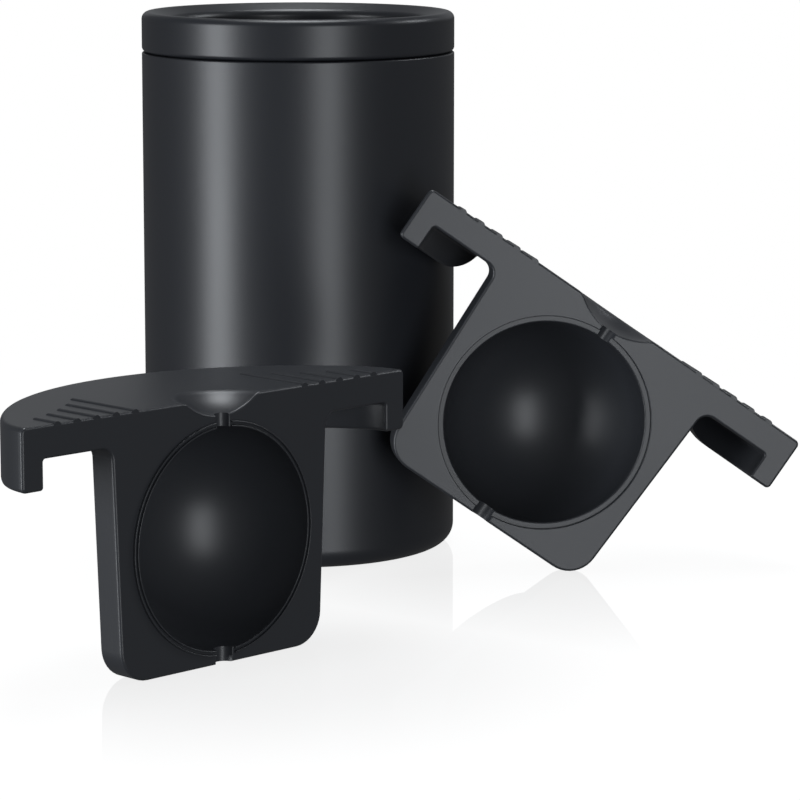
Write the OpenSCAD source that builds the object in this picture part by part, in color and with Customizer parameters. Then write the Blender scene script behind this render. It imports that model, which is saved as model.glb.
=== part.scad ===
// Clear ice ball maker: an insulated round container and a two-part ball mold.
// The two mold halves are shown taken out, one standing and one leaning beside the container.
// Each half is drawn about the centre of its ball, with the parting face at y = 0 and the back towards +y.

/* [Ball] */
// Diameter of the ice ball
ball_d = 60; // [45:1:75]
// Wall of the bowl behind the ball
bowl_wall = 3.2; // [2:0.1:5]
// Height of the plate's top above the ball
roof_t = 7.9; // [6.5:0.1:12]
// Thickness under the ball at the drain
floor_t = 3.9; // [3.3:0.1:8]

/* [Mold block] */
// Width of the parting face beside the ball, just under the plate
flange_top = 8; // [6:0.1:12]
// Width of the parting face beside the ball, at the foot
flange_bottom = 5.4; // [3.5:0.1:6]
// Depth of the flange behind the parting face
flange_depth = 8.5; // [5:0.5:14]
// Radius of the two lower corners of the block
block_corner_r = 9; // [3:0.5:14]
// Fillet between the block's sides and the plate
block_fillet_r = 3.5; // [1:0.1:5]
// Radius of the flat drum that the half stands on
foot_r = 20; // [12:0.5:24]

/* [Plate and finger lips] */
// Thickness of the plate
plate_t = 8.7; // [6:0.1:12]
// Overhang of the plate's tips past the container's wall
tip_overhang = 20.3; // [15:0.1:30]
// Radius of the plate's rounded tips, seen from above
tip_r = 24; // [20:0.5:34]
// Rounding of the plate's upper edge
plate_edge_r = 1.6; // [0.5:0.1:3]
// Rounding of the edges of the parting face
front_edge_r = 0.8; // [0.3:0.1:1.2]
// Drop of the finger lips below the plate
lip_drop = 8.1; // [4:0.1:12]
// Thickness of the finger lips
lip_t = 7; // [3:0.1:8]
// Rounding of the finger lips' lower edge
lip_edge_r = 1.4; // [0.5:0.1:1.5]
// Radius of the lips' inner ends, seen from the front
lip_end_r = 10; // [6:0.5:14]
// Gap between the block's side and the end of the lips
lip_gap = 2.2; // [1:0.1:6]

/* [Grip ribs] */
// Distance of the first grip rib from the centre
rib_first = 30; // [26:0.5:36]
// Spacing of the grip ribs
rib_pitch = 6.5; // [5:0.1:6.8]
// Number of grip ribs on each wing
rib_count = 5; // [3:1:5]
// Length of the grip rib nearest the centre
rib_length = 26; // [16:0.5:32]
// Length of each next grip rib as a share of the one before
rib_share = 0.78; // [0.7:0.01:0.9]
// Radius of a grip rib's round section
rib_r = 1.2; // [0.6:0.1:2]
// Height of a grip rib above the plate
rib_rise = 0.5; // [0.3:0.1:1]

/* [Filling dish and drains] */
// Width of the filling dish
dish_d = 29; // [20:0.5:40]
// Depth of the filling dish
dish_depth = 4.6; // [2:0.1:6]
// Soft blend at the edge of the filling dish
dish_blend_r = 5; // [1:0.5:8]
// Diameter of the vent between dish and ball
vent_d = 4.6; // [2:0.1:8]
// Diameter of the drain under the ball
drain_d = 5.8; // [3:0.1:10]

/* [Sealing lip] */
// Width of the sealing lip round the ball
seal_w = 1.2; // [1:0.1:2.4]
// Height of the sealing lip
seal_h = 0.8; // [0.4:0.1:1.2]
// Land between the ball's edge and the sealing lip
seal_land = 0.4; // [0.4:0.1:1]
// Clearance of the sealing lip in its groove
seal_clearance = 0.15; // [0.05:0.05:0.3]

/* [Container] */
// Height of the container
container_h = 163.6; // [140:0.1:220]
// Wall of the container at its mouth
container_wall = 8.1; // [8:0.1:16]
// Clearance of the closed mold in the container's mouth
mouth_clearance = 0.4; // [0.3:0.1:1.5]
// Height of the rim collar
collar_h = 12.1; // [8:0.1:16]
// Rounding of the collar's outer edge
collar_edge_r = 2.2; // [1:0.1:3]
// Rounding of the collar's mouth
collar_mouth_r = 2.5; // [1:0.1:3]
// Fall of the collar's top from its crest to the mouth
collar_fall = 1.6; // [0.5:0.1:2.5]
// Depth and half height of the groove between collar and shell
groove_depth = 1.0; // [0.5:0.1:1.5]
groove_half_h = 0.7; // [0.4:0.1:1]
// Wall of the outer shell
shell_wall = 2.4; // [1.6:0.1:3]
// Rounding of the container's foot
shell_foot_r = 4; // [3.2:0.1:6]
// Width of the flat ring that the container stands on
standing_ring_w = 6; // [3:0.5:10]
// Wall of the inner liner
liner_wall = 1.8; // [1.2:0.1:2.2]
// Outer radius of the bend at the liner's floor
liner_bend_r = 4; // [2.5:0.5:10]
// Wall of the collar's spigot inside the shell
spigot_wall = 1.8; // [1.2:0.1:2]
// Length of the collar's spigot inside the shell
spigot_h = 5; // [3:0.5:8]
// Thickness of the base cover's flange
base_t = 1.8; // [1.2:0.1:3]
// Thickness of the insulation under the liner
insulation_floor_t = 10; // [6:0.5:20]
// Gap between parts that are pushed together
fit_gap = 0.2; // [0.1:0.05:0.3]

/* [Arrangement] */
// Turn of the standing half about the upright
left_turn = 44.9; // [30:0.1:60]
// Sideways place of the standing half
left_across = -16; // [-40:0.1:10]
// Distance of the standing half in front of the container's axis
left_forward = 163; // [150:0.1:240]
// Turn of the leaning half about the upright
right_turn = 7; // [6:0.5:10]
// Tip of the leaning half in the plane of its face
right_tip = 35; // [30:0.5:36]
// Lean of the leaning half towards the container
right_lean = 1.5; // [0:0.1:1.6]
// Sideways place of the leaning half, in container radii
right_across = 1.555; // [1.555:0.001:1.75]
// Gap kept between the leaning half's wing and the container
lean_gap = 0.45; // [0.2:0.05:0.8]
// Gap kept between the leaning half's corner and the floor
floor_gap = 0.3; // [0.1:0.1:1]

/* [Hidden] */
$fn = 96;
arc_steps = 10;
edge_steps = 4;
overlap = 1;
plastic = "#2b2c30";
lining = "#3a3b40";
foam = "#e8e6df";

// The ball, the block and the plate, with heights from the ball's centre
ball_r = ball_d / 2;
bowl_r = ball_r + bowl_wall;
plate_top = ball_r + roof_t;
plate_under = plate_top - plate_t;
block_foot = -(ball_r + floor_t);
block_half_top = ball_r + flange_top;
block_half_foot = ball_r + flange_bottom;
block_draft = atan2(block_half_top - block_half_foot, plate_under - block_foot);
lip_foot = plate_under - lip_drop;

// The container's rounds and levels
mouth_r = norm([block_half_top, flange_depth]) + mouth_clearance;
container_r = mouth_r + container_wall;
collar_foot = container_h - collar_h;
shell_r_in = container_r - shell_wall;
spigot_r = shell_r_in - fit_gap;
spigot_r_in = spigot_r - spigot_wall;
liner_r_out = mouth_r + liner_wall;
liner_flange_r = spigot_r_in - fit_gap;
base_flange_r = shell_r_in - fit_gap;
base_hole_r = container_r - shell_foot_r - standing_ring_w;
foot_in_r = shell_foot_r - shell_wall;
base_level = shell_wall + base_t;
insulation_level = base_level + insulation_floor_t;
insulation_top = collar_foot - liner_wall;
sleeve_r_in = liner_r_out + fit_gap;
sleeve_r_out = shell_r_in - fit_gap;

// The plate's outline from above: one wide arc at the back and a smaller arc at each tip
plate_depth = container_r;
plate_half = container_r + tip_overhang;
tip_x = plate_half - tip_r;
back_y = (tip_x * tip_x - pow(plate_depth - tip_r, 2)) / (2 * (plate_depth - tip_r));
back_r = back_y + plate_depth;
tip_angle = atan2(back_y, tip_x);
lip_end_x = block_half_top + lip_gap + lip_end_r;

// The filling dish, a ball-shaped hollow that meets the plate in a soft blend
dish_r = dish_d / 2;
dish_ball_r = (dish_r * dish_r + dish_depth * dish_depth) / (2 * dish_depth) - dish_blend_r;
dish_centre = plate_top - dish_depth + dish_ball_r;
dish_meet = asin(dish_r / (dish_ball_r + dish_blend_r));

// Places of the two halves: the leaning one is just clear of the container at its wing and of the floor at its corner
left_place = [left_across, -left_forward, -block_foot];
corner_x = side_x(block_foot + block_corner_r) - block_corner_r / cos(block_draft);
corner_centre = [corner_x, block_foot + block_corner_r];
corner_down = [for (a = [0:5:90]) for (y = [0, flange_depth])
    leaning([corner_x + block_corner_r * sin(a), y, corner_centre[1] - block_corner_r * cos(a)])[2]];
right_x = container_r * right_across;
wing_reach = container_r + lean_gap;
wing_edge = [for (l = plate_levels()) for (p = plate_outline(l[0], l[1]))
    if (p[0] < -lip_end_x || l[2] > plate_under) leaning([p[0], p[1], l[2]])];
wing_back = [for (q = wing_edge) if (abs(right_x + q[0]) < wing_reach)
    -sqrt(pow(wing_reach, 2) - pow(right_x + q[0], 2)) - q[1]];
right_place = [right_x, min(wing_back), floor_gap - min(corner_down)];

// A point of the leaning half, tipped in the plane of its face, leant back and turned
function leaning(p) = turned(leant(tipped(p)));

function tipped(p) = [p[0] * cos(right_tip) + p[2] * sin(right_tip), p[1], p[2] * cos(right_tip) - p[0] * sin(right_tip)];

function leant(p) =
    [p[0], p[1] * cos(right_lean) + p[2] * sin(right_lean), p[2] * cos(right_lean) - p[1] * sin(right_lean)];

function turned(p) =
    [p[0] * cos(right_turn) - p[1] * sin(right_turn), p[0] * sin(right_turn) + p[1] * cos(right_turn), p[2]];

// Half width of the block at a height
function side_x(z) = block_half_foot + (z - block_foot) * tan(block_draft);

// Points along an arc, from its first step or, where another arc ends on it, from the next one
function arc(centre, r, from, to, first = 0) =
    [for (i = [first:arc_steps]) centre + r * turn(from + (to - from) * i / arc_steps)];

function turn(angle) = [cos(angle), sin(angle)];

// The same points on the other side, in reverse, leaving out as many as lie on the middle
function mirrored(points, middle = 0) =
    [for (i = [len(points) - 1 - middle:-1:0]) [-points[i][0], points[i][1]]];

// Right side of the plate's outline from above, drawn in from its edge and back from the parting face
function wing_outline(inset, front) = let (start = asin((front + front_edge_r) / (tip_r - inset))) concat(
    arc([tip_x + (tip_r - inset) * cos(start) - front_edge_r, front + front_edge_r], front_edge_r, -90, 0),
    arc([tip_x, 0], tip_r - inset, start, tip_angle, 1),
    arc([0, -back_y], back_r - inset, tip_angle, 90, 1));

// Whole outline at one height
function plate_outline(inset, front) = let (wing = wing_outline(inset, front)) concat(wing, mirrored(wing, 1));

// Inset from the edge, set-back from the parting face and height of each outline that the plate is made of
function plate_levels() = concat(
    [for (a = [90:-90 / edge_steps:0]) level(a, lip_edge_r, lip_foot + lip_edge_r * (1 - sin(a)))],
    [for (a = [0:90 / edge_steps:90]) level(a, plate_edge_r, plate_top - plate_edge_r * (1 - sin(a)))]);

function level(a, r, z) = [r * (1 - cos(a)), front_edge_r * (1 - cos(a)), z];

// Front outline of the block, one side, from the plate down
function block_side() = concat(
    [[fillet_x(), plate_under + overlap]],
    arc([fillet_x(), plate_under - block_fillet_r], block_fillet_r, 90, 180 - block_draft),
    arc(corner_centre, block_corner_r, -block_draft, -90));

function fillet_x() = side_x(plate_under - block_fillet_r) + block_fillet_r / cos(block_draft);

// Everything behind the parting face
module behind() {
    span = 4 * plate_half;
    translate([-span / 2, 0, -span / 2])
        cube([span, span, span]);
}

// Lens-shaped body from the lips' lower edge to the plate's top, with round edges
module lens() {
    levels = plate_levels();
    count = len(plate_outline(0, 0));
    last = (len(levels) - 1) * count;
    points = [for (l = levels) for (p = plate_outline(l[0], l[1])) [p[0], p[1], l[2]]];
    sides = [for (i = [0:count:last - count]) for (j = [0:count - 1])
        [i + j, i + count + j, i + count + (j + 1) % count, i + (j + 1) % count]];
    polyhedron(points, concat(
        [for (f = sides) [f[0], f[1], f[2]]],
        [for (f = sides) [f[0], f[2], f[3]]],
        [[for (j = [0:count - 1]) j]],
        [[for (j = [count - 1:-1:0]) last + j]]));
}

// Space under the plate: inside the lips, and between their rounded ends
module under_plate() {
    depth = plate_under - lip_foot + overlap;
    translate([0, 0, plate_under - depth])
        linear_extrude(height = depth)
            polygon(plate_outline(lip_t, -2 * front_edge_r));
    difference() {
        translate([-lip_end_x, -overlap, plate_under - depth])
            cube([2 * lip_end_x, plate_depth + 2 * overlap, depth]);
        for (side = [-1, 1])
            translate([side * lip_end_x, -2 * overlap, lip_foot + lip_end_r])
                rotate([-90, 0, 0])
                    cylinder(r = lip_end_r, h = plate_depth + 4 * overlap);
    }
}

// Plate with its two finger lips
module plate() {
    difference() {
        lens();
        under_plate();
    }
}

// Tapered block with its round bowl and the drum that it stands on
module block() {
    translate([0, flange_depth, 0])
        rotate([90, 0, 0])
            linear_extrude(height = flange_depth)
                polygon(concat(block_side(), mirrored(block_side())));
    intersection() {
        union() {
            sphere(r = bowl_r);
            translate([0, 0, block_foot])
                cylinder(r = foot_r, h = bowl_r / 2);
        }
        behind();
    }
}

// Row of grip ribs on one wing
module grip_ribs() {
    for (i = [0:rib_count - 1]) {
        straight = rib_length * pow(rib_share, i) - 2 * rib_r;
        translate([rib_first + i * rib_pitch, rib_r, plate_top + rib_rise - rib_r])
            rotate([-90, 0, 0]) {
                cylinder(r = rib_r, h = straight, $fn = 32);
                for (end = [0, straight])
                    translate([0, 0, end])
                        sphere(r = rib_r, $fn = 32);
            }
    }
}

// Hollow for filling, turned about the upright
module dish() {
    blend_centre = [dish_r, plate_top - dish_blend_r];
    rotate_extrude()
        polygon(concat(
            arc([0, dish_centre], dish_ball_r, -90, -90 + dish_meet),
            arc(blend_centre, dish_blend_r, 90 + dish_meet, 90),
            [[dish_r, plate_top + 2 * overlap], [0, plate_top + 2 * overlap]]));
}

// Flat ring round the ball on the parting face, from one depth to another
module seal_ring(grow, from, to) {
    translate([0, to, 0])
        rotate([90, 0, 0])
            difference() {
                cylinder(r = ball_r + seal_land + seal_w + grow, h = to - from);
                translate([0, 0, -overlap])
                    cylinder(r = ball_r + seal_land - grow, h = to - from + 2 * overlap);
            }
}

// Ball, dish, vent and drain
module hollows() {
    sphere(r = ball_r);
    dish();
    cylinder(d = vent_d, h = plate_top, $fn = 48);
    translate([0, 0, block_foot - overlap])
        cylinder(d = drain_d, h = -block_foot, $fn = 48);
}

// One mold half, with the raised sealing lip or with the groove that takes it
module mold_half(raised) {
    difference() {
        union() {
            plate();
            block();
            for (side = [0, 1])
                mirror([side, 0, 0])
                    grip_ribs();
            if (raised)
                seal_ring(0, -seal_h, overlap);
        }
        hollows();
        if (!raised)
            seal_ring(seal_clearance, -overlap, seal_h + seal_clearance);
    }
}

module left_mold_half() {
    color(plastic)
        translate(left_place)
            rotate([0, 0, left_turn])
                mold_half(true);
}

module right_mold_half() {
    color(plastic)
        translate(right_place)
            rotate([0, 0, right_turn])
                rotate([-right_lean, 0, 0])
                    rotate([0, right_tip, 0])
                        mold_half(false);
}

// Outer shell: tall wall with a rounded foot and a standing ring round the base opening
module outer_shell() {
    color(plastic)
        rotate_extrude()
            polygon(concat(
                [[base_hole_r, 0]],
                arc([container_r - shell_foot_r, shell_foot_r], shell_foot_r, -90, 0),
                [[container_r, collar_foot - groove_half_h], [container_r - groove_depth, collar_foot],
                 [shell_r_in, collar_foot]],
                arc([shell_r_in - foot_in_r, shell_wall + foot_in_r], foot_in_r, 0, -90),
                [[base_hole_r, shell_wall]]));
}

// Base cover: plug level with the standing ring, with a flange that rests on the ring inside the shell
module base_cover() {
    color(plastic)
        union() {
            cylinder(r = base_hole_r - fit_gap, h = base_level);
            translate([0, 0, shell_wall])
                cylinder(r = base_flange_r - foot_in_r, h = base_t);
        }
}

// Insulation under the liner
module insulation_disc() {
    color(foam)
        translate([0, 0, base_level])
            cylinder(r = sleeve_r_out, h = insulation_floor_t);
}

// Insulation round the liner, stepped at the top for the collar's spigot
module insulation_sleeve() {
    color(foam)
        rotate_extrude()
            polygon([
                [sleeve_r_in, insulation_level],
                [sleeve_r_out, insulation_level],
                [sleeve_r_out, collar_foot - spigot_h - fit_gap],
                [liner_flange_r, collar_foot - spigot_h - fit_gap],
                [liner_flange_r, insulation_top],
                [sleeve_r_in, insulation_top]]);
}

// Inner liner: deep cup that holds the water, hung from a flange under the collar
module inner_liner() {
    bend_in_r = liner_bend_r - liner_wall;
    cup_floor = insulation_level + liner_wall;
    color(lining)
        rotate_extrude()
            polygon(concat(
                [[0, insulation_level]],
                arc([liner_r_out - liner_bend_r, insulation_level + liner_bend_r], liner_bend_r, -90, 0),
                [[liner_r_out, insulation_top], [liner_flange_r, insulation_top],
                 [liner_flange_r, collar_foot], [mouth_r, collar_foot]],
                arc([mouth_r - bend_in_r, cup_floor + bend_in_r], bend_in_r, 0, -90),
                [[0, cup_floor]]));
}

// Rim collar: thick ring with a dished top, a groove under its edge and a spigot inside the shell
module rim_collar() {
    crest_r = container_r - collar_edge_r;
    mouth_top = container_h - collar_fall;
    color(plastic)
        rotate_extrude()
            polygon(concat(
                [[spigot_r, collar_foot], [container_r - groove_depth, collar_foot],
                 [container_r, collar_foot + groove_half_h]],
                arc([crest_r, container_h - collar_edge_r], collar_edge_r, 0, 90),
                arc([mouth_r + collar_mouth_r, mouth_top - collar_mouth_r], collar_mouth_r, 90, 180),
                [[mouth_r, collar_foot], [spigot_r_in, collar_foot], [spigot_r_in, collar_foot - spigot_h],
                 [spigot_r, collar_foot - spigot_h]]));
}

outer_shell();
base_cover();
insulation_disc();
insulation_sleeve();
inner_liner();
rim_collar();
left_mold_half();
right_mold_half();
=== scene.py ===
"""Clear ice ball maker: an insulated container and its two-part ball mold, dressed for a studio picture."""

from __future__ import annotations

import logging
import math
from dataclasses import dataclass, field
from enum import Enum
from typing import Iterable, Sequence

import bmesh
import bpy
import numpy as np
from mathutils import Matrix, Vector

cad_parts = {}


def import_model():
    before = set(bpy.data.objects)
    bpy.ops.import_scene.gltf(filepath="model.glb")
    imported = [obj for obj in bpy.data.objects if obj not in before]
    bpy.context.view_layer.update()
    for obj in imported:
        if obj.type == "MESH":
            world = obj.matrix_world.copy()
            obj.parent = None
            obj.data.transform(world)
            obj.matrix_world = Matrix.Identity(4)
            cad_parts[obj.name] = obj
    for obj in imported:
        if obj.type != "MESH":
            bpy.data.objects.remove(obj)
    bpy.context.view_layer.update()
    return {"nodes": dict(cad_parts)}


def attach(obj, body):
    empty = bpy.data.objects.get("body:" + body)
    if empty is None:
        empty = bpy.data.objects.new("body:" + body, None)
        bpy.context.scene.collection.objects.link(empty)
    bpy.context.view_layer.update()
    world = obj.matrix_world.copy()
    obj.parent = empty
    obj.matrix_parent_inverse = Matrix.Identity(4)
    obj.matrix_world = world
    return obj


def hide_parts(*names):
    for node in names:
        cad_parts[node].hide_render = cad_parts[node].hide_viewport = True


LOG = logging.getLogger("ice_ball_maker")
MM = 0.001
Point = tuple[float, float]
Triple = tuple[float, float, float]
Outline = list[Point]


class Axis(Enum):
    """Axis that a section is turned about."""

    DEPTH = "y"
    UP = "z"


class Cut(Enum):
    """How one solid acts on another."""

    ADD = "UNION"
    TAKE = "DIFFERENCE"


class Seal(Enum):
    """What a mold half carries round its ball."""

    LIP = "raised lip"
    STEP = "step for the lip"


class Slot(Enum):
    """Material slots of the record, listed beside the container's new pieces but not given to them."""

    SHELL = "shell"
    COLLAR = "collar"
    LINER = "liner"
    MOLD = "mold"


# Outlines and solids, in millimetres

ON_AXIS = 1e-6
WELD = 0.002
SLIVER = 0.001
FLAT_FACES_LEAD = 100


def arc(centre: Point, radius: float, start: float, end: float, steps: int) -> Outline:
    """Points along an arc from one angle to another, in degrees and in equal steps."""
    angles = np.radians(np.linspace(start, end, steps + 1))
    return [(centre[0] + radius * math.cos(a), centre[1] + radius * math.sin(a)) for a in angles]


def rounding(radius: float, steps: int = 6) -> Outline:
    """Inset and rise of each step of a round edge, from the face to the side."""
    angles = np.radians(np.linspace(90, 0, steps + 1))
    return [(radius * (1 - math.cos(a)), radius * (1 - math.sin(a))) for a in angles]


def mirrored(points: Sequence[tuple[float, ...]]) -> list[tuple[float, ...]]:
    """The same points on the other side, in reverse."""
    return [(-x, *rest) for x, *rest in reversed(points)]


def rounded(corners: Sequence[Triple], steps: int = 10) -> Outline:
    """Closed outline with each corner rounded to its own radius.

    Args:
        corners: x, y and radius of each corner, in order.
        steps: Steps in each round corner.

    Returns:
        The outline's points.
    """
    points: Outline = []
    for i, (x, y, radius) in enumerate(corners):
        here = Vector((x, y))
        before = (Vector(corners[i - 1][:2]) - here).normalized()
        after = (Vector(corners[(i + 1) % len(corners)][:2]) - here).normalized()
        half = before.angle(after) / 2
        centre = here + (before + after).normalized() * (radius / math.sin(half))
        first = here + before * (radius / math.tan(half)) - centre
        last = here + after * (radius / math.tan(half)) - centre
        start = math.degrees(math.atan2(first.y, first.x))
        turn = (math.degrees(math.atan2(last.y, last.x)) - start + 180) % 360 - 180
        points += arc(tuple(centre), radius, start, start + turn, steps)
    return points


def inset(outline: Outline, distance: float) -> Outline:
    """Outline drawn in by a distance, for outlines that run anticlockwise.

    Args:
        outline: Points of a closed outline.
        distance: How far to draw it in, or out if it is below nothing.

    Returns:
        The new points, in the same order.
    """
    p = np.array(outline)
    along = np.roll(p, -1, axis=0) - p
    along /= np.linalg.norm(along, axis=1)[:, None]
    normal = np.stack([-along[:, 1], along[:, 0]], axis=1)
    mean = normal + np.roll(normal, 1, axis=0)
    mean /= np.sum(mean * normal, axis=1)[:, None]
    return [tuple(q) for q in p + mean * distance]


def new_object(
    name: str, vertices: Sequence[Sequence[float]], faces: Sequence[Sequence[int]]
) -> bpy.types.Object:
    """Closed mesh object with its faces turned outwards.

    Args:
        name: Name of the object.
        vertices: Its points.
        faces: Its faces.

    Returns:
        The object, linked to the scene.
    """
    mesh = bpy.data.meshes.new(name)
    mesh.from_pydata([tuple(v) for v in vertices], [], [tuple(f) for f in faces])
    bm = bmesh.new()
    bm.from_mesh(mesh)
    bmesh.ops.recalc_face_normals(bm, faces=bm.faces)
    bm.to_mesh(mesh)
    bm.free()
    obj = bpy.data.objects.new(name, mesh)
    bpy.context.scene.collection.objects.link(obj)
    return obj


def loft(name: str, loops: Sequence[Sequence[Triple]]) -> bpy.types.Object:
    """Solid through closed loops of equal length, capped at both ends.

    Args:
        name: Name of the object.
        loops: The loops, each a list of points in space.

    Returns:
        The solid.
    """
    n = len(loops[0])
    vertices = [p for loop in loops for p in loop]
    faces: list[Sequence[int]] = []
    for i in range(len(loops) - 1):
        for j in range(n):
            k = (j + 1) % n
            faces.append((i * n + j, i * n + k, (i + 1) * n + k, (i + 1) * n + j))
    faces.append(list(range(n)))
    faces.append([(len(loops) - 1) * n + j for j in range(n)])
    return new_object(name, vertices, faces)


def slab(name: str, outline: Outline, levels: Iterable[Point]) -> bpy.types.Object:
    """Solid behind an upright outline in x and z, drawn in by each level's inset at its depth."""
    return loft(name, [[(x, depth, z) for x, z in inset(outline, by)] for by, depth in levels])


def revolve(
    name: str, section: Outline, axis: Axis, segments: int, ring: bool = False
) -> bpy.types.Object:
    """Solid of revolution.

    Args:
        name: Name of the object.
        section: Radius and height of each point; it ends on the axis unless it is a ring.
        axis: Axis to turn about.
        segments: Steps in a full turn.
        ring: Whether the section is closed in itself.

    Returns:
        The solid.
    """
    vertices: list[Triple] = []
    rows: list[list[int]] = []
    turns = np.linspace(0, 2 * math.pi, segments, endpoint=False)
    for radius, height in section:
        on_axis = radius < ON_AXIS
        row = []
        for a in turns[:1] if on_axis else turns:
            x, y = radius * math.cos(a), radius * math.sin(a)
            row.append(len(vertices))
            vertices.append((x, y, height) if axis is Axis.UP else (x, height, y))
        rows.append(row * segments if on_axis else row)
    faces: list[Sequence[int]] = []
    pairs = zip(rows, rows[1:] + rows[:1]) if ring else zip(rows, rows[1:])
    for low, high in pairs:
        for j in range(segments):
            k = (j + 1) % segments
            face = list(dict.fromkeys((low[j], low[k], high[k], high[j])))
            if len(face) > 2:
                faces.append(face)
    return new_object(name, vertices, faces)


def settle(obj: bpy.types.Object, step: bpy.types.Modifier) -> None:
    """Makes a modifier's result the object's plain mesh and removes the modifier.

    Args:
        obj: Object with the one modifier.
        step: The modifier.
    """
    mesh = bpy.data.meshes.new_from_object(obj.evaluated_get(bpy.context.evaluated_depsgraph_get()))
    obj.modifiers.remove(step)
    obj.data = mesh


def combine(body: bpy.types.Object, tool: bpy.types.Object, cut: Cut) -> None:
    """Joins a solid to another, or cuts it out, and removes it.

    Args:
        body: Solid that is changed.
        tool: Solid that is used up.
        cut: What to do with it.
    """
    step = body.modifiers.new("step", "BOOLEAN")
    step.operation = cut.value
    step.solver = "MANIFOLD"
    step.object = tool
    settle(body, step)
    bpy.data.objects.remove(tool)


def smooth(obj: bpy.types.Object, place: Matrix, sharp: float) -> None:
    """Puts a finished solid in its place in the shared frame and shades it, with flat faces kept flat.

    Args:
        obj: Solid drawn in millimetres.
        place: Where it goes, in metres.
        sharp: Edges that turn more than this stay sharp, in degrees.
    """
    bm = bmesh.new()
    bm.from_mesh(obj.data)
    bmesh.ops.remove_doubles(bm, verts=bm.verts, dist=WELD)
    bmesh.ops.dissolve_degenerate(bm, edges=bm.edges, dist=SLIVER)
    bm.to_mesh(obj.data)
    bm.free()
    obj.data.transform(place @ Matrix.Scale(MM, 4))
    obj.data.shade_smooth()
    obj.data.set_sharp_from_angle(angle=math.radians(sharp))
    step = obj.modifiers.new("flat", "WEIGHTED_NORMAL")
    step.keep_sharp = True
    step.weight = FLAT_FACES_LEAD
    settle(obj, step)
    obj.data.name = obj.name


# Node trees


def new_group(name: str, kind: str, inputs: dict[str, str], outputs: dict[str, str]) -> bpy.types.NodeTree:
    """Empty node group with named sockets.

    Args:
        name: Name of the group.
        kind: Type of its tree.
        inputs: Socket type of each input.
        outputs: Socket type of each output.

    Returns:
        The group.
    """
    tree = bpy.data.node_groups.new(name, kind)
    for side, sockets in (("INPUT", inputs), ("OUTPUT", outputs)):
        for label, socket_type in sockets.items():
            tree.interface.new_socket(label, in_out=side, socket_type=socket_type)
    return tree


def feed(tree: bpy.types.NodeTree, node: bpy.types.Node, inputs: dict[str | int, object]) -> None:
    """Links a node's inputs to sockets, or sets them to values.

    Args:
        tree: Tree that the node is in.
        node: The node.
        inputs: A socket or a value for each input, by its name or number.
    """
    for label, source in inputs.items():
        if isinstance(source, bpy.types.NodeSocket):
            tree.links.new(source, node.inputs[label])
        else:
            node.inputs[label].default_value = source


def add_node(
    tree: bpy.types.NodeTree, kind: str, inputs: dict[str | int, object] | None = None, **options: object
) -> bpy.types.NodeOutputs:
    """Adds a node to a tree.

    Args:
        tree: Tree that it goes into.
        kind: Type of node.
        inputs: A socket or a value for each input that is used.
        options: Settings of the node itself.

    Returns:
        Its outputs.
    """
    node = tree.nodes.new(kind)
    for label, choice in options.items():
        setattr(node, label, choice)
    feed(tree, node, inputs or {})
    return node.outputs


# Finishes

GRAIN_DETAIL = 3
DRIFT_SCALE = 14
DRIFT_DETAIL = 2
NOISE_MIDDLE = 0.5


def grain_group() -> bpy.types.NodeTree:
    """Shader group for moulded plastic: a fine grain as height, and a slow drift of the gloss.

    Returns:
        The group, made once.
    """
    name = "moulded grain"
    if name in bpy.data.node_groups:
        return bpy.data.node_groups[name]
    number = "NodeSocketFloat"
    inputs = dict.fromkeys(("Grain Scale", "Gloss Drift", "Roughness"), number)
    outputs = dict.fromkeys(("Roughness", "Height"), number)
    tree = new_group(name, "ShaderNodeTree", {"Vector": "NodeSocketVector", **inputs}, outputs)
    enter = add_node(tree, "NodeGroupInput")
    fine = {"Vector": enter["Vector"], "Scale": enter["Grain Scale"], "Detail": GRAIN_DETAIL}
    slow = {"Vector": enter["Vector"], "Scale": DRIFT_SCALE, "Detail": DRIFT_DETAIL}
    grain = add_node(tree, "ShaderNodeTexNoise", fine)
    drift = add_node(tree, "ShaderNodeTexNoise", slow)
    centred = add_node(tree, "ShaderNodeMath", {0: drift["Fac"], 1: NOISE_MIDDLE}, operation="SUBTRACT")
    terms = {0: centred["Value"], 1: enter["Gloss Drift"], 2: enter["Roughness"]}
    gloss = add_node(tree, "ShaderNodeMath", terms, operation="MULTIPLY_ADD")
    add_node(tree, "NodeGroupOutput", {"Roughness": gloss["Value"], "Height": grain["Fac"]})
    return tree


@dataclass(frozen=True)
class Finish:
    """Moulded plastic or foam: its colour, gloss and grain."""

    name: str
    colour: Triple
    roughness: float
    gloss_drift: float = 0.05
    grain_scale: float = 2600.0
    grain_depth: float = 0.000012
    ior: float = 1.5

    def material(self) -> bpy.types.Material:
        """Builds the finish on the object's own coordinates.

        Returns:
            The material, made once.
        """
        if self.name in bpy.data.materials:
            return bpy.data.materials[self.name]
        material = bpy.data.materials.new(self.name)
        material.use_nodes = True
        material.diffuse_color = (*self.colour, 1)
        tree = material.node_tree
        place = add_node(tree, "ShaderNodeTexCoord")
        sizes = {
            "Vector": place["Object"],
            "Grain Scale": self.grain_scale,
            "Gloss Drift": self.gloss_drift,
            "Roughness": self.roughness,
        }
        grain = add_node(tree, "ShaderNodeGroup", sizes, node_tree=grain_group())
        bump = add_node(tree, "ShaderNodeBump", {"Distance": self.grain_depth, "Height": grain["Height"]})
        plastic = {
            "Base Color": (*self.colour, 1),
            "IOR": self.ior,
            "Roughness": grain["Roughness"],
            "Normal": bump["Normal"],
        }
        feed(tree, tree.nodes["Principled BSDF"], plastic)
        return material

    def dress(self, obj: bpy.types.Object) -> None:
        """Gives the whole object this finish."""
        obj.data.materials.clear()
        obj.data.materials.append(self.material())


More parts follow.
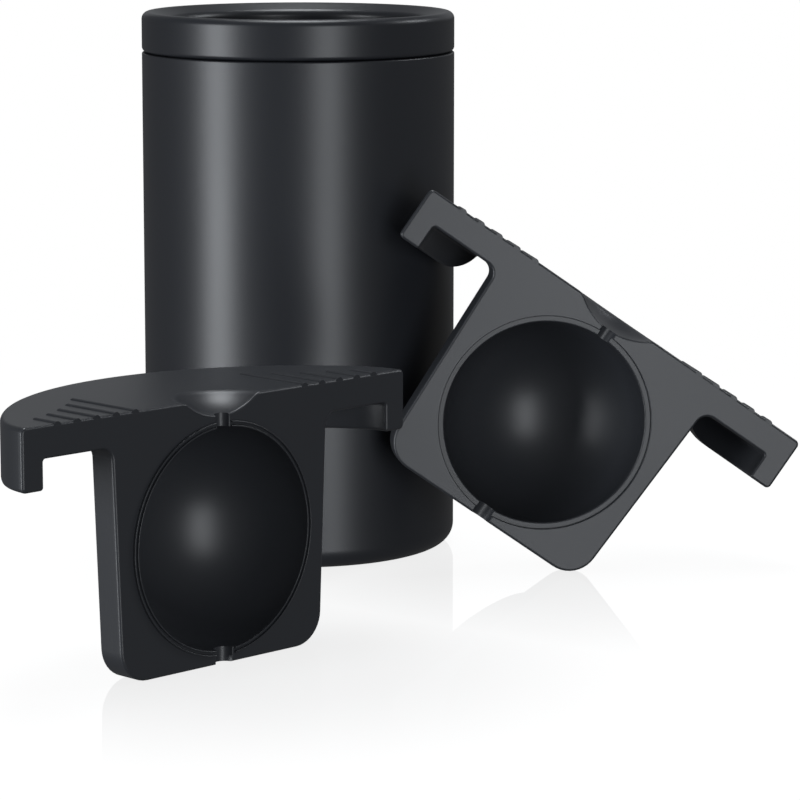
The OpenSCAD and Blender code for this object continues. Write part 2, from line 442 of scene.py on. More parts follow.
SHELL_FINISH = Finish("shell satin charcoal", (0.0195, 0.0212, 0.0255), 0.36)
COLLAR_FINISH = Finish("collar satin charcoal", (0.0175, 0.0192, 0.0235), 0.36)
LINER_FINISH = Finish("liner dark grey", (0.0215, 0.0235, 0.0275), 0.42)
BASE_FINISH = Finish("base fine grain", (0.02, 0.02, 0.022), 0.55, grain_depth=0.00003)
FOAM_FINISH = Finish("insulation foam", (0.8, 0.79, 0.74), 0.9, grain_scale=420, grain_depth=0.0002)
MOLD_FINISH = Finish("mold satin charcoal", (0.0250, 0.0270, 0.0315), 0.385)


# Container


@dataclass
class Container:
    """Insulated container: outer shell, rim collar and inner liner, in millimetres."""

    radius: float
    mouth_radius: float
    height: float = 163.6
    collar_height: float = 12.1
    collar_edge: float = 2.2
    collar_mouth: float = 2.5
    collar_fall: float = 1.6
    groove_depth: float = 1.9
    groove_half: float = 0.16
    groove_upper_edge: float = 1.3
    groove_lower_edge: float = 0.45
    shell_wall: float = 2.4
    shell_foot: float = 6.0
    shell_bend: float = 1.6
    standing_ring: float = 4.0
    liner_wall: float = 1.8
    liner_bend: float = 4.0
    spigot_wall: float = 1.8
    spigot_height: float = 5.0
    fit_gap: float = 0.2
    cup_underside: float = 14.2
    segments: int = 256
    steps: int = 12
    upper_edge_steps: int = 8
    lower_edge_steps: int = 6
    sharp: float = 32.0
    body: str = "container"

    @property
    def collar_level(self) -> float:
        """Height where collar and shell meet."""
        return self.height - self.collar_height

    @property
    def shell_inside(self) -> float:
        """Inner radius of the shell."""
        return self.radius - self.shell_wall

    @property
    def fall_angle(self) -> float:
        """Slope of the collar's top towards the mouth, in degrees."""
        top_width = self.radius - self.collar_edge - self.mouth_radius - self.collar_mouth
        return math.degrees(math.atan2(self.collar_fall, top_width))

    def shell(self) -> bpy.types.Object:
        """Tall wall with a rounded foot and a small round at the groove.

        Returns:
            The shell.
        """
        r, foot, bend, edge = self.radius, self.shell_foot, self.shell_bend, self.groove_lower_edge
        hole = r - foot - self.standing_ring
        top = self.collar_level - self.groove_half
        section = [(hole, 0.0)]
        section += arc((r - foot, foot), foot, -90, 0, self.steps)
        section += arc((r - edge, top - edge), edge, 0, 90, self.lower_edge_steps)
        section += [(r - self.groove_depth, self.collar_level), (self.shell_inside, self.collar_level)]
        section += arc((self.shell_inside - bend, self.shell_wall + bend), bend, 0, -90, self.steps)
        section.append((hole, self.shell_wall))
        return self.turned("shell", section, True)

    def collar(self) -> bpy.types.Object:
        """Thick ring with a dished top, rounded at the groove, with a spigot inside the shell.

        Returns:
            The collar.
        """
        r, level, edge, low = self.radius, self.collar_level, self.collar_edge, self.groove_upper_edge
        spigot = self.shell_inside - self.fit_gap
        spigot_inside = spigot - self.spigot_wall
        spigot_foot = level - self.spigot_height
        mouth = (self.mouth_radius + self.collar_mouth, self.height - self.collar_fall - self.collar_mouth)
        fall = 90 + self.fall_angle
        section = [(spigot, level), (r - self.groove_depth, level)]
        section += arc((r - low, level + self.groove_half + low), low, -90, 0, self.upper_edge_steps)
        section += arc((r - edge, self.height - edge), edge, 0, fall, self.steps)
        section += arc(mouth, self.collar_mouth, fall, 180, self.steps)
        section += [(self.mouth_radius, level), (spigot_inside, level)]
        section += [(spigot_inside, spigot_foot), (spigot, spigot_foot)]
        return self.turned("collar", section, True)

    def liner(self) -> bpy.types.Object:
        """Deep cup hung from a flange under the collar.

        Returns:
            The liner.
        """
        wall, bend, low = self.liner_wall, self.liner_bend, self.cup_underside
        outside = self.mouth_radius + wall
        inner = bend - wall
        flange = self.shell_inside - 2 * self.fit_gap - self.spigot_wall
        under = self.collar_level - wall
        section = [(0.0, low)]
        section += arc((outside - bend, low + bend), bend, -90, 0, self.steps)
        section += [(outside, under), (flange, under), (flange, self.collar_level)]
        section.append((self.mouth_radius, self.collar_level))
        section += arc((self.mouth_radius - inner, low + wall + inner), inner, 0, -90, self.steps)
        section.append((0.0, low + wall))
        return self.turned("liner", section, False)

    def turned(self, name: str, section: Outline, ring: bool) -> bpy.types.Object:
        """One turned piece of the container.

        Args:
            name: Name of the piece.
            section: Its section.
            ring: Whether it is open in the middle.

        Returns:
            The piece, shaded.
        """
        obj = revolve(name, section, Axis.UP, self.segments, ring)
        smooth(obj, Matrix.Identity(4), self.sharp)
        return obj

    def build(self, nodes: dict[str, bpy.types.Object]) -> list[bpy.types.Object]:
        """Builds and dresses the container, and dresses the pieces that show as they are.

        Args:
            nodes: The frame's pieces by name.

        Returns:
            The new pieces.
        """
        pieces = []
        for obj, node, slot, finish in (
            (self.shell(), "outer_shell", Slot.SHELL, SHELL_FINISH),
            (self.collar(), "rim_collar", Slot.COLLAR, COLLAR_FINISH),
            (self.liner(), "inner_liner", Slot.LINER, LINER_FINISH),
        ):
            finish.dress(obj)
            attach(obj, self.body)
            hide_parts(node)
            pieces.append(obj)
        BASE_FINISH.dress(nodes["base_cover"])
        FOAM_FINISH.dress(nodes["insulation_disc"])
        FOAM_FINISH.dress(nodes["insulation_sleeve"])
        return pieces


# Mold halves

# How far a cutting solid reaches past the half, in millimetres
REACH = 1.0
RIB_LENGTH = "rib_length"
RIB_SIDES = 24
RIB_END_RINGS = 16


def rib_group() -> bpy.types.NodeTree:
    """Geometry group that sets one rib on each point, flat in front and round behind, as long as it says.

    Returns:
        The group, made once.
    """
    name = "grip ribs"
    if name in bpy.data.node_groups:
        return bpy.data.node_groups[name]
    shape = "NodeSocketGeometry"
    inputs = {"Points": shape, "Radius": "NodeSocketFloat", "Finish": "NodeSocketMaterial"}
    tree = new_group(name, "GeometryNodeTree", inputs, {"Ribs": shape})
    enter = add_node(tree, "NodeGroupInput")
    length = add_node(tree, "GeometryNodeInputNamedAttribute", {"Name": RIB_LENGTH}, data_type="FLOAT")
    stretch = add_node(tree, "ShaderNodeCombineXYZ", {"X": 1, "Y": length["Attribute"], "Z": 1})
    line = add_node(tree, "GeometryNodeCurvePrimitiveLine", {"End": (0, 1, 0)})
    laid = {"Points": enter["Points"], "Instance": line["Curve"], "Scale": stretch["Vector"]}
    lay = add_node(tree, "GeometryNodeInstanceOnPoints", laid)
    lines = add_node(tree, "GeometryNodeRealizeInstances", {"Geometry": lay["Instances"]})
    round_section = {"Resolution": RIB_SIDES, "Radius": enter["Radius"]}
    circle = add_node(tree, "GeometryNodeCurvePrimitiveCircle", round_section)
    swept = {"Curve": lines["Geometry"], "Profile Curve": circle["Curve"], "Fill Caps": True}
    rods = add_node(tree, "GeometryNodeCurveToMesh", swept)
    round_end = {"Segments": RIB_SIDES, "Rings": RIB_END_RINGS, "Radius": enter["Radius"]}
    knob = add_node(tree, "GeometryNodeMeshUVSphere", round_end)
    last = add_node(tree, "GeometryNodeCurveEndpointSelection", {"Start Size": 0})
    ended = {"Points": lines["Geometry"], "Selection": last["Selection"], "Instance": knob["Mesh"]}
    ends = add_node(tree, "GeometryNodeInstanceOnPoints", ended)
    join = tree.nodes.new("GeometryNodeJoinGeometry")
    feed(tree, join, {"Geometry": rods["Mesh"]})
    feed(tree, join, {"Geometry": ends["Instances"]})
    shade = add_node(tree, "GeometryNodeSetShadeSmooth", {"Geometry": join.outputs["Geometry"]})
    ribs = add_node(tree, "GeometryNodeRealizeInstances", {"Geometry": shade["Geometry"]})
    dressed = {"Geometry": ribs["Geometry"], "Material": enter["Finish"]}
    paint = add_node(tree, "GeometryNodeSetMaterial", dressed)
    add_node(tree, "NodeGroupOutput", {"Ribs": paint["Geometry"]})
    return tree


@dataclass(frozen=True)
class MoldSizes:
    """Sizes that both halves share, in millimetres from the centre of the ball."""

    ball: float = 30.0
    bowl_wall: float = 3.2
    roof: float = 7.9
    floor: float = 3.9
    flange_top: float = 8.0
    flange_bottom: float = 5.4
    flange_depth: float = 8.5
    flange_back_edge: float = 0.4
    block_corner: float = 9.0
    block_fillet: float = 3.5
    block_lap: float = 2.0
    block_lap_edge: float = 0.1
    foot: float = 20.0
    foot_height: float = 16.0
    foot_edge: float = 0.8
    plate: float = 8.7
    overhang: float = 20.2
    tip: float = 24.0
    plate_edge: float = 1.6
    front_edge: float = 0.8
    front_skin: float = 1.6
    skin_lap: float = 0.2
    lip_drop: float = 8.1
    lip: float = 7.0
    lip_edge: float = 1.4
    lip_inner_edge: float = 0.9
    lip_root: float = 0.9
    lip_end: float = 10.0
    lip_gap: float = 2.2
    mouth_clearance: float = 0.4
    wall: float = 8.1
    dish: float = 14.5
    dish_depth: float = 4.6
    dish_blend: float = 5.0
    dish_edge: float = 0.6
    vent: float = 2.3
    drain: float = 2.9
    channel_edge: float = 0.5
    seal_width: float = 1.2
    seal_height: float = 0.8
    seal_land: float = 0.4
    seal_clearance: float = 0.15
    seal_ridge: float = 0.45
    seal_groove: float = 0.05
    seal_edge: float = 0.2
    seal_sink: float = 0.6
    seal_inside: float = 0.4
    step_edge: float = 0.3
    mouth_edge: float = 0.5
    rib_first: float = 30.0
    rib_pitch: float = 6.5
    rib_count: int = 5
    rib_length: float = 26.0
    rib_share: float = 0.78
    rib_radius: float = 1.2
    rib_rise: float = 0.5
    rib_setback: float = 0.03

    @property
    def top(self) -> float:
        """Height of the plate's top."""
        return self.ball + self.roof

    @property
    def under(self) -> float:
        """Height of the plate's underside."""
        return self.top - self.plate

    @property
    def lip_foot(self) -> float:
        """Height of the finger lips' lower edge."""
        return self.under - self.lip_drop

    @property
    def block_foot(self) -> float:
        """Height of the block's foot."""
        return -(self.ball + self.floor)

    @property
    def half_top(self) -> float:
        """Half width of the block under the plate."""
        return self.ball + self.flange_top

    @property
    def half_foot(self) -> float:
        """Half width of the block at its foot."""
        return self.ball + self.flange_bottom

    @property
    def mouth_radius(self) -> float:
        """Radius of the container's mouth, which takes the block."""
        return math.hypot(self.half_top, self.flange_depth) + self.mouth_clearance

    @property
    def depth(self) -> float:
        """Depth of the plate, the same as the container's radius."""
        return self.mouth_radius + self.wall

    @property
    def half_length(self) -> float:
        """Half length of the plate."""
        return self.depth + self.overhang

    @property
    def draft(self) -> float:
        """Slope of the block's sides, in degrees."""
        return math.degrees(math.atan2(self.half_top - self.half_foot, self.under - self.block_foot))

    @property
    def start(self) -> float:
        """Depth at which the solids behind the rounded front skin start."""
        return self.front_edge + self.skin_lap

    @property
    def seal_outside(self) -> float:
        """Outer radius of the sealing lip."""
        return self.ball + self.seal_land + self.seal_width

    def plan(self, by: float, front: float, steps: int = 28) -> Outline:
        """Plate's outline from above: a wide arc at the back and a smaller one at each tip.

        Args:
            by: How far the outline is drawn in.
            front: Where it starts behind the parting face.
            steps: Steps in each arc.

        Returns:
            The outline, from the right tip round to the left one.
        """
        reach = self.half_length - self.tip
        behind = (reach**2 - (self.depth - self.tip) ** 2) / (2 * (self.depth - self.tip))
        turn = math.degrees(math.atan2(behind, reach))
        start = math.degrees(math.asin(front / (self.tip - by)))
        right = arc((reach, 0.0), self.tip - by, start, turn, steps)
        right += arc((0.0, -behind), behind + self.depth - by, turn, 90, steps)[1:]
        return right + mirrored(right[:-1])

    def face(self) -> Outline:
        """Outline of the whole parting face: the block, the plate and the ends of both lips.

        Returns:
            The outline, anticlockwise as seen from the front.
        """
        inside = self.half_length - self.lip
        right = [
            (self.half_foot, self.block_foot, self.block_corner),
            (self.half_top, self.under, self.block_fillet),
            (inside, self.under, self.lip_root),
            (inside, self.lip_foot, self.lip_inner_edge),
            (self.half_length, self.lip_foot, self.lip_edge),
            (self.half_length, self.top, self.plate_edge),
        ]
        return rounded(right + mirrored(right))

    def block(self) -> Outline:
        """Outline of the block behind the parting face, which laps into the plate.

        Returns:
            The outline, anticlockwise as seen from the front.
        """
        wide = self.half_top + 2 * self.block_fillet
        right = [
            (self.half_foot, self.block_foot, self.block_corner),
            (self.half_top, self.under, self.block_fillet),
            (wide, self.under, self.block_lap_edge),
            (wide, self.under + self.block_lap, self.block_lap_edge),
        ]
        return rounded(right + mirrored(right))


@dataclass
class MoldHalf:
    """One mold half: its seal, its place and the body that it moves with."""

    name: str
    seal: Seal
    place: Matrix
    sizes: MoldSizes = field(default_factory=MoldSizes)
    segments: int = 160
    channel_segments: int = 48
    ball_steps: int = 72
    bowl_steps: int = 48
    drum_steps: int = 64
    dish_steps: int = 24
    blend_steps: int = 16
    lip_end_steps: int = 24
    mouth_steps: int = 6
    seal_steps: int = 4
    sharp: float = 35.0
    rib_sharp: float = 40.0

    @property
    def body(self) -> str:
        """The frame's body that this half is."""
        return f"{self.name}_half"

    @property
    def node(self) -> str:
        """The frame's piece that this half stands for."""
        return f"{self.name}_mold_half"

    def stacked(self, name: str, levels: Sequence[Point], front: float) -> bpy.types.Object:
        """Solid through the plate's outlines, each drawn in by a level's inset at its height."""
        return loft(name, [[(x, y, z) for x, y in self.sizes.plan(by, front)] for by, z in levels])

    def plate(self) -> bpy.types.Object:
        """Lens-shaped plate with the finger lips under its wings.

        Returns:
            The plate, flat in front just behind the parting face.
        """
        s = self.sizes
        levels = [(by, s.lip_foot + rise) for by, rise in rounding(s.lip_edge)]
        levels += [(by, s.top - rise) for by, rise in reversed(rounding(s.plate_edge))]
        plate = self.stacked("plate", levels, s.start)
        combine(plate, self.hollow(), Cut.TAKE)
        combine(plate, self.gap(), Cut.TAKE)
        return plate

    def hollow(self) -> bpy.types.Object:
        """Space inside the finger lips, with a round foot and a round root.

        Returns:
            The space as a solid.
        """
        s = self.sizes
        levels = [(s.lip - s.lip_inner_edge, s.lip_foot - REACH)]
        levels += [(s.lip - by, s.lip_foot + rise) for by, rise in rounding(s.lip_inner_edge)]
        levels += [(s.lip + by, s.under - rise) for by, rise in reversed(rounding(s.lip_root))]
        return self.stacked("hollow", levels, -REACH)

    def gap(self) -> bpy.types.Object:
        """Space between the rounded ends of the two lips.

        Returns:
            The space as a solid.
        """
        s = self.sizes
        end = s.half_top + s.lip_gap + s.lip_end
        centre = s.lip_foot + s.lip_end
        rise = math.degrees(math.asin((s.under - centre) / s.lip_end))
        right = [(end, s.lip_foot - REACH)]
        right += arc((end, centre), s.lip_end, 270, 180 - rise, self.lip_end_steps)
        outline = right + mirrored(right)
        return loft("gap", [[(x, y, z) for x, z in outline] for y in (-REACH, s.depth + REACH)])

    def bowl(self) -> bpy.types.Object:
        """Round back of the ball.

        Returns:
            The half ball.
        """
        start, r = self.sizes.start, self.sizes.ball + self.sizes.bowl_wall
        section = arc((0.0, 0.0), r, 90, math.degrees(math.asin(start / r)), self.bowl_steps)
        section[0] = (0.0, r)
        return revolve("bowl", section + [(0.0, start)], Axis.DEPTH, self.segments)

    def drum(self) -> bpy.types.Object:
        """Half drum under the bowl that the half stands on.

        Returns:
            The drum.
        """
        s = self.sizes
        levels = [(by, s.block_foot + rise) for by, rise in rounding(s.foot_edge)]
        levels.append((0.0, s.block_foot + s.foot_height))
        loops = []
        for by, z in levels:
            r = s.foot - by
            first = math.degrees(math.asin(s.start / r))
            loops.append([(x, y, z) for x, y in arc((0.0, 0.0), r, first, 180 - first, self.drum_steps)])
        return loft("drum", loops)

    def ball(self) -> bpy.types.Object:
        """Space of the half ball, with a small round at its mouth.

        Returns:
            The space as a solid.
        """
        s, r = self.sizes, self.sizes.ball
        lip = self.seal is Seal.LIP
        edge = s.seal_edge if lip else s.mouth_edge
        round_at = edge - s.seal_height if lip else edge + s.seal_height + s.seal_clearance
        last = math.degrees(math.asin(max(round_at, 0.0) / r))
        section = arc((0.0, 0.0), r, 90, last, self.ball_steps)
        section[0] = (0.0, r)
        section += arc((r + edge, round_at), edge, 180, 270, self.mouth_steps)[0 if lip else 1 :]
        section += [(r + edge, -REACH), (0.0, -REACH)]
        return revolve("ball", section, Axis.DEPTH, self.segments)

    def sealing_lip(self) -> bpy.types.Object:
        """Sealing lip: two round ridges with a groove between them.

        Returns:
            The lip, sunk into the face.
        """
        s, edge = self.sizes, self.sizes.seal_edge
        inside, inner = s.ball - s.seal_inside, s.ball + s.seal_ridge
        outside, outer = s.seal_outside, s.seal_outside - s.seal_ridge
        crest = edge - s.seal_height
        section = [(inside, s.seal_sink), (inside, -s.seal_height)]
        section += arc((inner - edge, crest), edge, 270, 360, self.seal_steps)
        section += [(inner, -s.seal_groove), (outer, -s.seal_groove)]
        section += arc((outer + edge, crest), edge, 180, 270, self.seal_steps)
        section += arc((outside - edge, crest), edge, 270, 360, self.seal_steps)
        section.append((outside, s.seal_sink))
        return revolve("lip", section, Axis.DEPTH, self.segments, True)

    def lip_step(self) -> bpy.types.Object:
        """Space of the step that takes the lip.

        Returns:
            The space as a solid.
        """
        s, edge = self.sizes, self.sizes.step_edge
        wide = s.seal_outside + s.seal_clearance
        deep = s.seal_height + s.seal_clearance
        section = [(0.0, deep), (wide, deep)]
        section += arc((wide + edge, edge), edge, 180, 270, self.seal_steps)
        section += [(wide + edge, -REACH), (0.0, -REACH)]
        return revolve("step", section, Axis.DEPTH, self.segments)

    def dish_section(self) -> Outline:
        """Filling dish from its middle to its rim, which meets the plate in a soft blend.

        Returns:
            Radius and height of each point.
        """
        s = self.sizes
        r = (s.dish**2 + s.dish_depth**2) / (2 * s.dish_depth) - s.dish_blend
        meet = math.degrees(math.asin(s.dish / (r + s.dish_blend)))
        section = arc((0.0, s.top - s.dish_depth + r), r, -90, -90 + meet, self.dish_steps)
        section[0] = (0.0, s.top - s.dish_depth)
        section += arc((s.dish, s.top - s.dish_blend), s.dish_blend, 90 + meet, 90, self.blend_steps)[1:]
        return section + [(s.dish, s.top + REACH)]

    def dish(self) -> bpy.types.Object:
        """Space of the filling dish, as a solid."""
        section = self.dish_section() + [(0.0, self.sizes.top + REACH)]
        return revolve("dish", section, Axis.UP, self.segments)

    def channel(self, radius: float, low: float, high: float) -> bpy.types.Object:
        """Space of an upright round channel on the parting face, as a solid."""
        section = [(0.0, low), (radius, low), (radius, high), (0.0, high)]
        return revolve("channel", section, Axis.UP, self.channel_segments)

    def eased(self, half_outline: Outline, radius: float) -> bpy.types.Object:
        """Space that rounds the edge of an opening on the parting face.

        Args:
            half_outline: Right half of the opening's outline on the face, from its foot up.
            radius: Radius of the round edge.

        Returns:
            The space as a solid.
        """
        left = mirrored([p for p in half_outline if p[0] > 0])
        levels = [(-radius, -REACH), *((-by, rise) for by, rise in rounding(radius)), (radius, radius)]
        return slab("eased", left + half_outline, levels)

    def solid(self) -> bpy.types.Object:
        """Whole moulding but for its grip ribs.

        Returns:
            The half, in its place.
        """
        s = self.sizes
        half = slab(f"{self.name}_half_body", s.face(), [*rounding(s.front_edge), (0.0, s.front_skin)])
        back = [(by, s.flange_depth - rise) for by, rise in reversed(rounding(s.flange_back_edge))]
        combine(half, self.plate(), Cut.ADD)
        combine(half, slab("block", s.block(), [(0.0, s.start), *back]), Cut.ADD)
        combine(half, self.bowl(), Cut.ADD)
        combine(half, self.drum(), Cut.ADD)
        if self.seal is Seal.LIP:
            combine(half, self.sealing_lip(), Cut.ADD)
        combine(half, self.ball(), Cut.TAKE)
        if self.seal is Seal.STEP:
            combine(half, self.lip_step(), Cut.TAKE)
        combine(half, self.dish(), Cut.TAKE)
        combine(half, self.eased(self.dish_section(), s.dish_edge), Cut.TAKE)
        middle = s.ball / 2
        for radius, low, high in ((s.vent, middle, s.top), (s.drain, s.block_foot - REACH, -middle)):
            side = math.sqrt(radius**2 - s.channel_edge**2)
            combine(half, self.channel(radius, low, high), Cut.TAKE)
            combine(half, self.eased([(side, low), (side, high)], s.channel_edge), Cut.TAKE)
        smooth(half, self.place, self.sharp)
        return half

    def ribs(self) -> bpy.types.Object:
        """Grip ribs on both wings, set out on points that carry each rib's length.

        Returns:
            The ribs as one mesh, in place.
        """
        s = self.sizes
        mesh = bpy.data.meshes.new(f"{self.name}_ribs")
        obj = bpy.data.objects.new(f"{self.name}_ribs", mesh)
        bpy.context.scene.collection.objects.link(obj)
        points = [
            (side * (s.rib_first + i * s.rib_pitch), s.rib_setback, s.top + s.rib_rise - s.rib_radius)
            for side in (-1, 1)
            for i in range(s.rib_count)
        ]
        mesh.from_pydata([tuple(c * MM for c in p) for p in points], [], [])
        lengths = mesh.attributes.new(RIB_LENGTH, "FLOAT", "POINT")
        straight = [s.rib_length * s.rib_share**i - s.rib_radius for i in range(s.rib_count)]
        lengths.data.foreach_set("value", [v * MM for v in straight] * 2)
        step = obj.modifiers.new("ribs", "NODES")
        step.node_group = rib_group()
        items = step.node_group.interface.items_tree
        sockets = {i.name: i.identifier for i in items if i.in_out == "INPUT"}
        step[sockets["Radius"]] = s.rib_radius * MM
        step[sockets["Finish"]] = MOLD_FINISH.material()
        settle(obj, step)
        obj.data.set_sharp_from_angle(angle=math.radians(self.rib_sharp))
        obj.data.transform(self.place)
        return obj

    def build(self) -> list[bpy.types.Object]:
        """Builds and dresses the half.

        Returns:
            The new pieces.
        """
        half, ribs = self.solid(), self.ribs()
        MOLD_FINISH.dress(half)
        for obj in (half, ribs):
            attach(obj, self.body)
        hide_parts(self.node)
        return [half, ribs]


# Arrangement and studio


@dataclass(frozen=True)
class Arrangement:
    """Where the two halves stand: the standing one in millimetres, the leaning one in container radii."""

    left_turn: float = 44.9
    left_across: float = -16.0
    left_forward: float = 163.0
    right_turn: float = 7.0
    right_tip: float = 35.0
    right_lean: float = 1.5
    right_across: float = 1.555
    right_forward: float = 1.04877
    floor_gap: float = 0.3

    def left(self, sizes: MoldSizes) -> Matrix:
        """Place of the standing half, in metres."""
        at = Vector((self.left_across, -self.left_forward, -sizes.block_foot)) * MM
        return Matrix.Translation(at) @ Matrix.Rotation(math.radians(self.left_turn), 4, "Z")

    def right(self, sizes: MoldSizes) -> Matrix:
        """Place of the leaning half, its lowest corner just above the floor.

        Args:
            sizes: Sizes of the mold.

        Returns:
            Its matrix, in metres.
        """
        turn = (
            Matrix.Rotation(math.radians(self.right_turn), 4, "Z")
            @ Matrix.Rotation(math.radians(-self.right_lean), 4, "X")
            @ Matrix.Rotation(math.radians(self.right_tip), 4, "Y")
        )
        slope, corner = math.radians(sizes.draft), sizes.block_corner
        across = sizes.half_foot + corner * math.tan(slope) - corner / math.cos(slope)
        up = turn[2]
        drop = across * up[0] + (sizes.block_foot + corner) * up[2] - corner * math.hypot(up[0], up[2])
        drop += min(0.0, sizes.flange_depth * up[1])
        r = sizes.depth
        at = Vector((r * self.right_across, -r * self.right_forward, self.floor_gap - drop)) * MM
        return Matrix.Translation(at) @ turn


@dataclass(frozen=True)
class Softbox:
    """One soft light, aimed at a point. Azimuth runs from the viewer towards +X, in degrees."""

    name: str
    azimuth: float
    elevation: float
    distance: float
    width: float
    height: float
    power: float
    aim: Triple = (0.0, 0.0, 0.05)
    colour: Triple = (0.965, 1.0, 1.04)

    def place(self) -> None:
        """Puts the light in the scene, where the camera doesn't see it."""
        a, e = math.radians(self.azimuth), math.radians(self.elevation)
        away = Vector((math.sin(a) * math.cos(e), -math.cos(a) * math.cos(e), math.sin(e)))
        light = bpy.data.lights.new(self.name, "AREA")
        light.shape = "RECTANGLE"
        light.size = self.width
        light.size_y = self.height
        light.energy = self.power
        light.color = self.colour
        obj = bpy.data.objects.new(self.name, light)
        obj.location = Vector(self.aim) + away * self.distance
        obj.rotation_euler = away.to_track_quat("Z", "Y").to_euler()
        obj.visible_camera = False
        bpy.context.scene.collection.objects.link(obj)


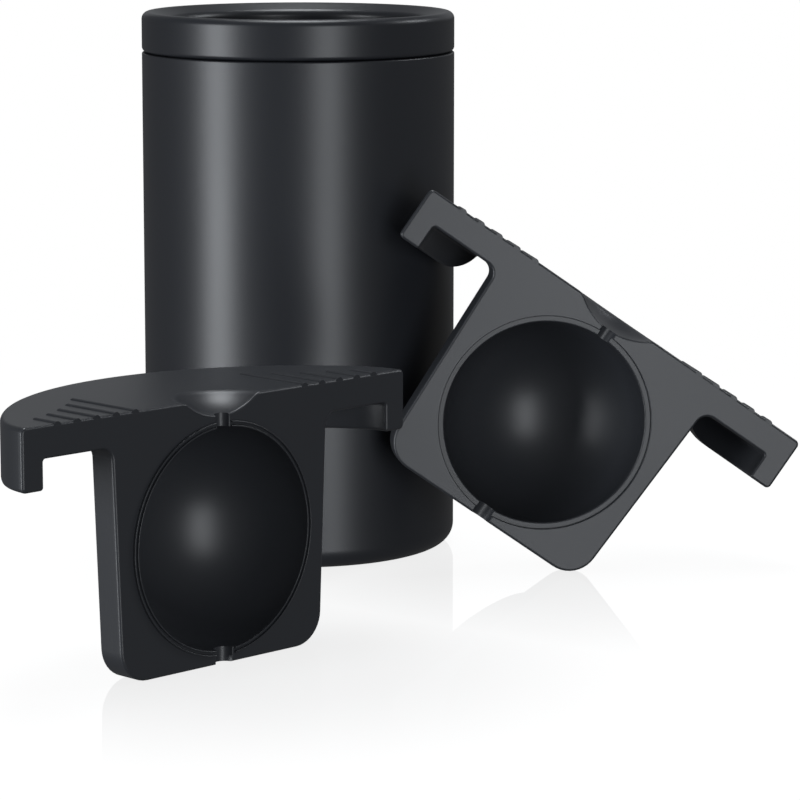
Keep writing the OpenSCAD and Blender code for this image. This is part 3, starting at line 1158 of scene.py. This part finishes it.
@dataclass(frozen=True)
class Studio:
    """White floor, soft lights and the camera at the photograph's angle, in metres."""

    camera_at: Triple = (0.02911, -1.09634, 0.22743)
    pitch: float = 9.454
    lens: float = 161.93
    sensor: float = 36.0
    shift: Point = (0.0075, -0.0042)
    ambient: float = 0.10
    floor_half: float = 30.0
    floor_drop: float = 0.0001
    floor_matt: float = 0.10
    floor_glow: float = 0.95
    floor_shine: float = 0.14
    shadow_reach: Point = (0.1, 0.4)
    shine_reach: Point = (0.02, 0.13)
    lights: tuple[Softbox, ...] = (
        Softbox("left strip", -59, 0, distance=1.4, width=0.45, height=1.1, power=13.5),
        Softbox("front strip", 22.5, 0, distance=1.5, width=0.45, height=1.1, power=7.7),
        Softbox("top panel", 180, 79, distance=1.4, width=0.5, height=0.7, power=10.5),
        Softbox("rim panel", 104, 32, distance=1.6, width=0.45, height=0.4, power=4.5),
        Softbox("back panel", 170, 18, distance=2.0, width=2.4, height=0.8, power=1.3),
    )

    def camera(self) -> None:
        """Sets the camera."""
        data = bpy.data.cameras.new("camera")
        data.lens = self.lens
        data.sensor_width = self.sensor
        data.shift_x, data.shift_y = self.shift
        data.dof.use_dof = False
        obj = bpy.data.objects.new("camera", data)
        obj.location = self.camera_at
        obj.rotation_euler = (math.radians(90 - self.pitch), 0, 0)
        bpy.context.scene.collection.objects.link(obj)
        bpy.context.scene.camera = obj

    def world(self) -> None:
        """White for the camera and in the floor's reflection, and a dim even light for everything else."""
        world = bpy.data.worlds.new("studio")
        world.use_nodes = True
        tree = world.node_tree
        path = add_node(tree, "ShaderNodeLightPath")
        rays = {0: path["Is Camera Ray"], 1: path["Is Singular Ray"]}
        seen = add_node(tree, "ShaderNodeMath", rays, operation="MAXIMUM")
        levels = {"Value": seen["Value"], "To Min": self.ambient, "To Max": 1.0}
        level = add_node(tree, "ShaderNodeMapRange", levels)
        feed(tree, tree.nodes["Background"], {"Color": (1, 1, 1, 1), "Strength": level["Result"]})
        bpy.context.scene.world = world

    def nearness(
        self, tree: bpy.types.NodeTree, spots: Sequence[Point], reach: Point
    ) -> bpy.types.NodeSocket:
        """Mask on the floor that is one near the given spots and fades to nothing.

        Args:
            tree: Tree of the floor's material.
            spots: Middles of the pieces that stand on the floor.
            reach: Distance up to which the mask is one, and from which it is nothing.

        Returns:
            The mask.
        """
        place = add_node(tree, "ShaderNodeTexCoord")
        apart = [
            add_node(tree, "ShaderNodeVectorMath", {0: place["Object"], 1: (x, y, 0)}, operation="DISTANCE")
            for x, y in spots
        ]
        shortest = apart[0]
        for other in apart[1:]:
            pair = {0: shortest["Value"], 1: other["Value"]}
            shortest = add_node(tree, "ShaderNodeMath", pair, operation="MINIMUM")
        ends = {"From Min": reach[0], "From Max": reach[1], "To Min": 1.0, "To Max": 0.0}
        fade = {"Value": shortest["Value"], **ends}
        return add_node(tree, "ShaderNodeMapRange", fade, interpolation_type="SMOOTHSTEP")["Result"]

    def floor_material(self, spots: Sequence[Point]) -> bpy.types.Material:
        """White that takes soft shadows near the pieces, and a faint reflection closer to them.

        Args:
            spots: Middles of the pieces that stand on the floor.

        Returns:
            The material.
        """
        material = bpy.data.materials.new("white floor")
        material.use_nodes = True
        tree = material.node_tree
        tree.nodes.clear()
        white = add_node(tree, "ShaderNodeEmission")
        glow = add_node(tree, "ShaderNodeEmission", {"Strength": self.floor_glow})
        grey = (self.floor_matt, self.floor_matt, self.floor_matt, 1)
        matt = add_node(tree, "ShaderNodeBsdfDiffuse", {"Color": grey})
        lit = add_node(tree, "ShaderNodeAddShader", {0: glow["Emission"], 1: matt["BSDF"]})
        near = self.nearness(tree, spots, self.shadow_reach)
        around = {"Fac": near, 1: white["Emission"], 2: lit["Shader"]}
        shaded = add_node(tree, "ShaderNodeMixShader", around)
        mirror = add_node(tree, "ShaderNodeBsdfGlossy", {"Roughness": 0.0})
        close = self.nearness(tree, spots, self.shine_reach)
        share = add_node(tree, "ShaderNodeMath", {0: close, 1: self.floor_shine}, operation="MULTIPLY")
        shine = {"Fac": share["Value"], 1: shaded["Shader"], 2: mirror["BSDF"]}
        shown = add_node(tree, "ShaderNodeMixShader", shine)
        add_node(tree, "ShaderNodeOutputMaterial", {"Surface": shown["Shader"]})
        return material

    def floor(self, spots: Sequence[Point]) -> bpy.types.Object:
        """White floor just under the pieces, which lights nothing and shows in nothing.

        Args:
            spots: Middles of the pieces that stand on the floor.

        Returns:
            The floor.
        """
        half = self.floor_half
        corners = [(-half, -half, 0), (half, -half, 0), (half, half, 0), (-half, half, 0)]
        mesh = bpy.data.meshes.new("floor")
        mesh.from_pydata(corners, [], [(0, 1, 2, 3)])
        mesh.materials.append(self.floor_material(spots))
        floor = bpy.data.objects.new("floor", mesh)
        floor.location.z = -self.floor_drop
        floor.visible_diffuse = False
        floor.visible_glossy = False
        floor.visible_shadow = False
        bpy.context.scene.collection.objects.link(floor)
        return floor

    def build(self, spots: Sequence[Point]) -> None:
        """Sets up the whole studio.

        Args:
            spots: Middles of the pieces that stand on the floor.
        """
        self.camera()
        self.world()
        for light in self.lights:
            light.place()
        self.floor(spots)
        bpy.context.scene.view_settings.view_transform = "Standard"


def main() -> None:
    """Builds the container, the two halves and the studio on the frame."""
    logging.basicConfig(level=logging.INFO, format="%(name)s: %(message)s")
    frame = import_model()
    sizes = MoldSizes()
    arrangement = Arrangement()
    left, right = arrangement.left(sizes), arrangement.right(sizes)
    pieces = Container(sizes.depth, sizes.mouth_radius).build(frame["nodes"])
    pieces += MoldHalf("left", Seal.LIP, left, sizes).build()
    pieces += MoldHalf("right", Seal.STEP, right, sizes).build()
    for piece in pieces:
        LOG.info("%s: %d faces", piece.name, len(piece.data.polygons))
    Studio().build([(0.0, 0.0), *(tuple(place.translation.xy) for place in (left, right))])


if __name__ == "__main__":
    main()
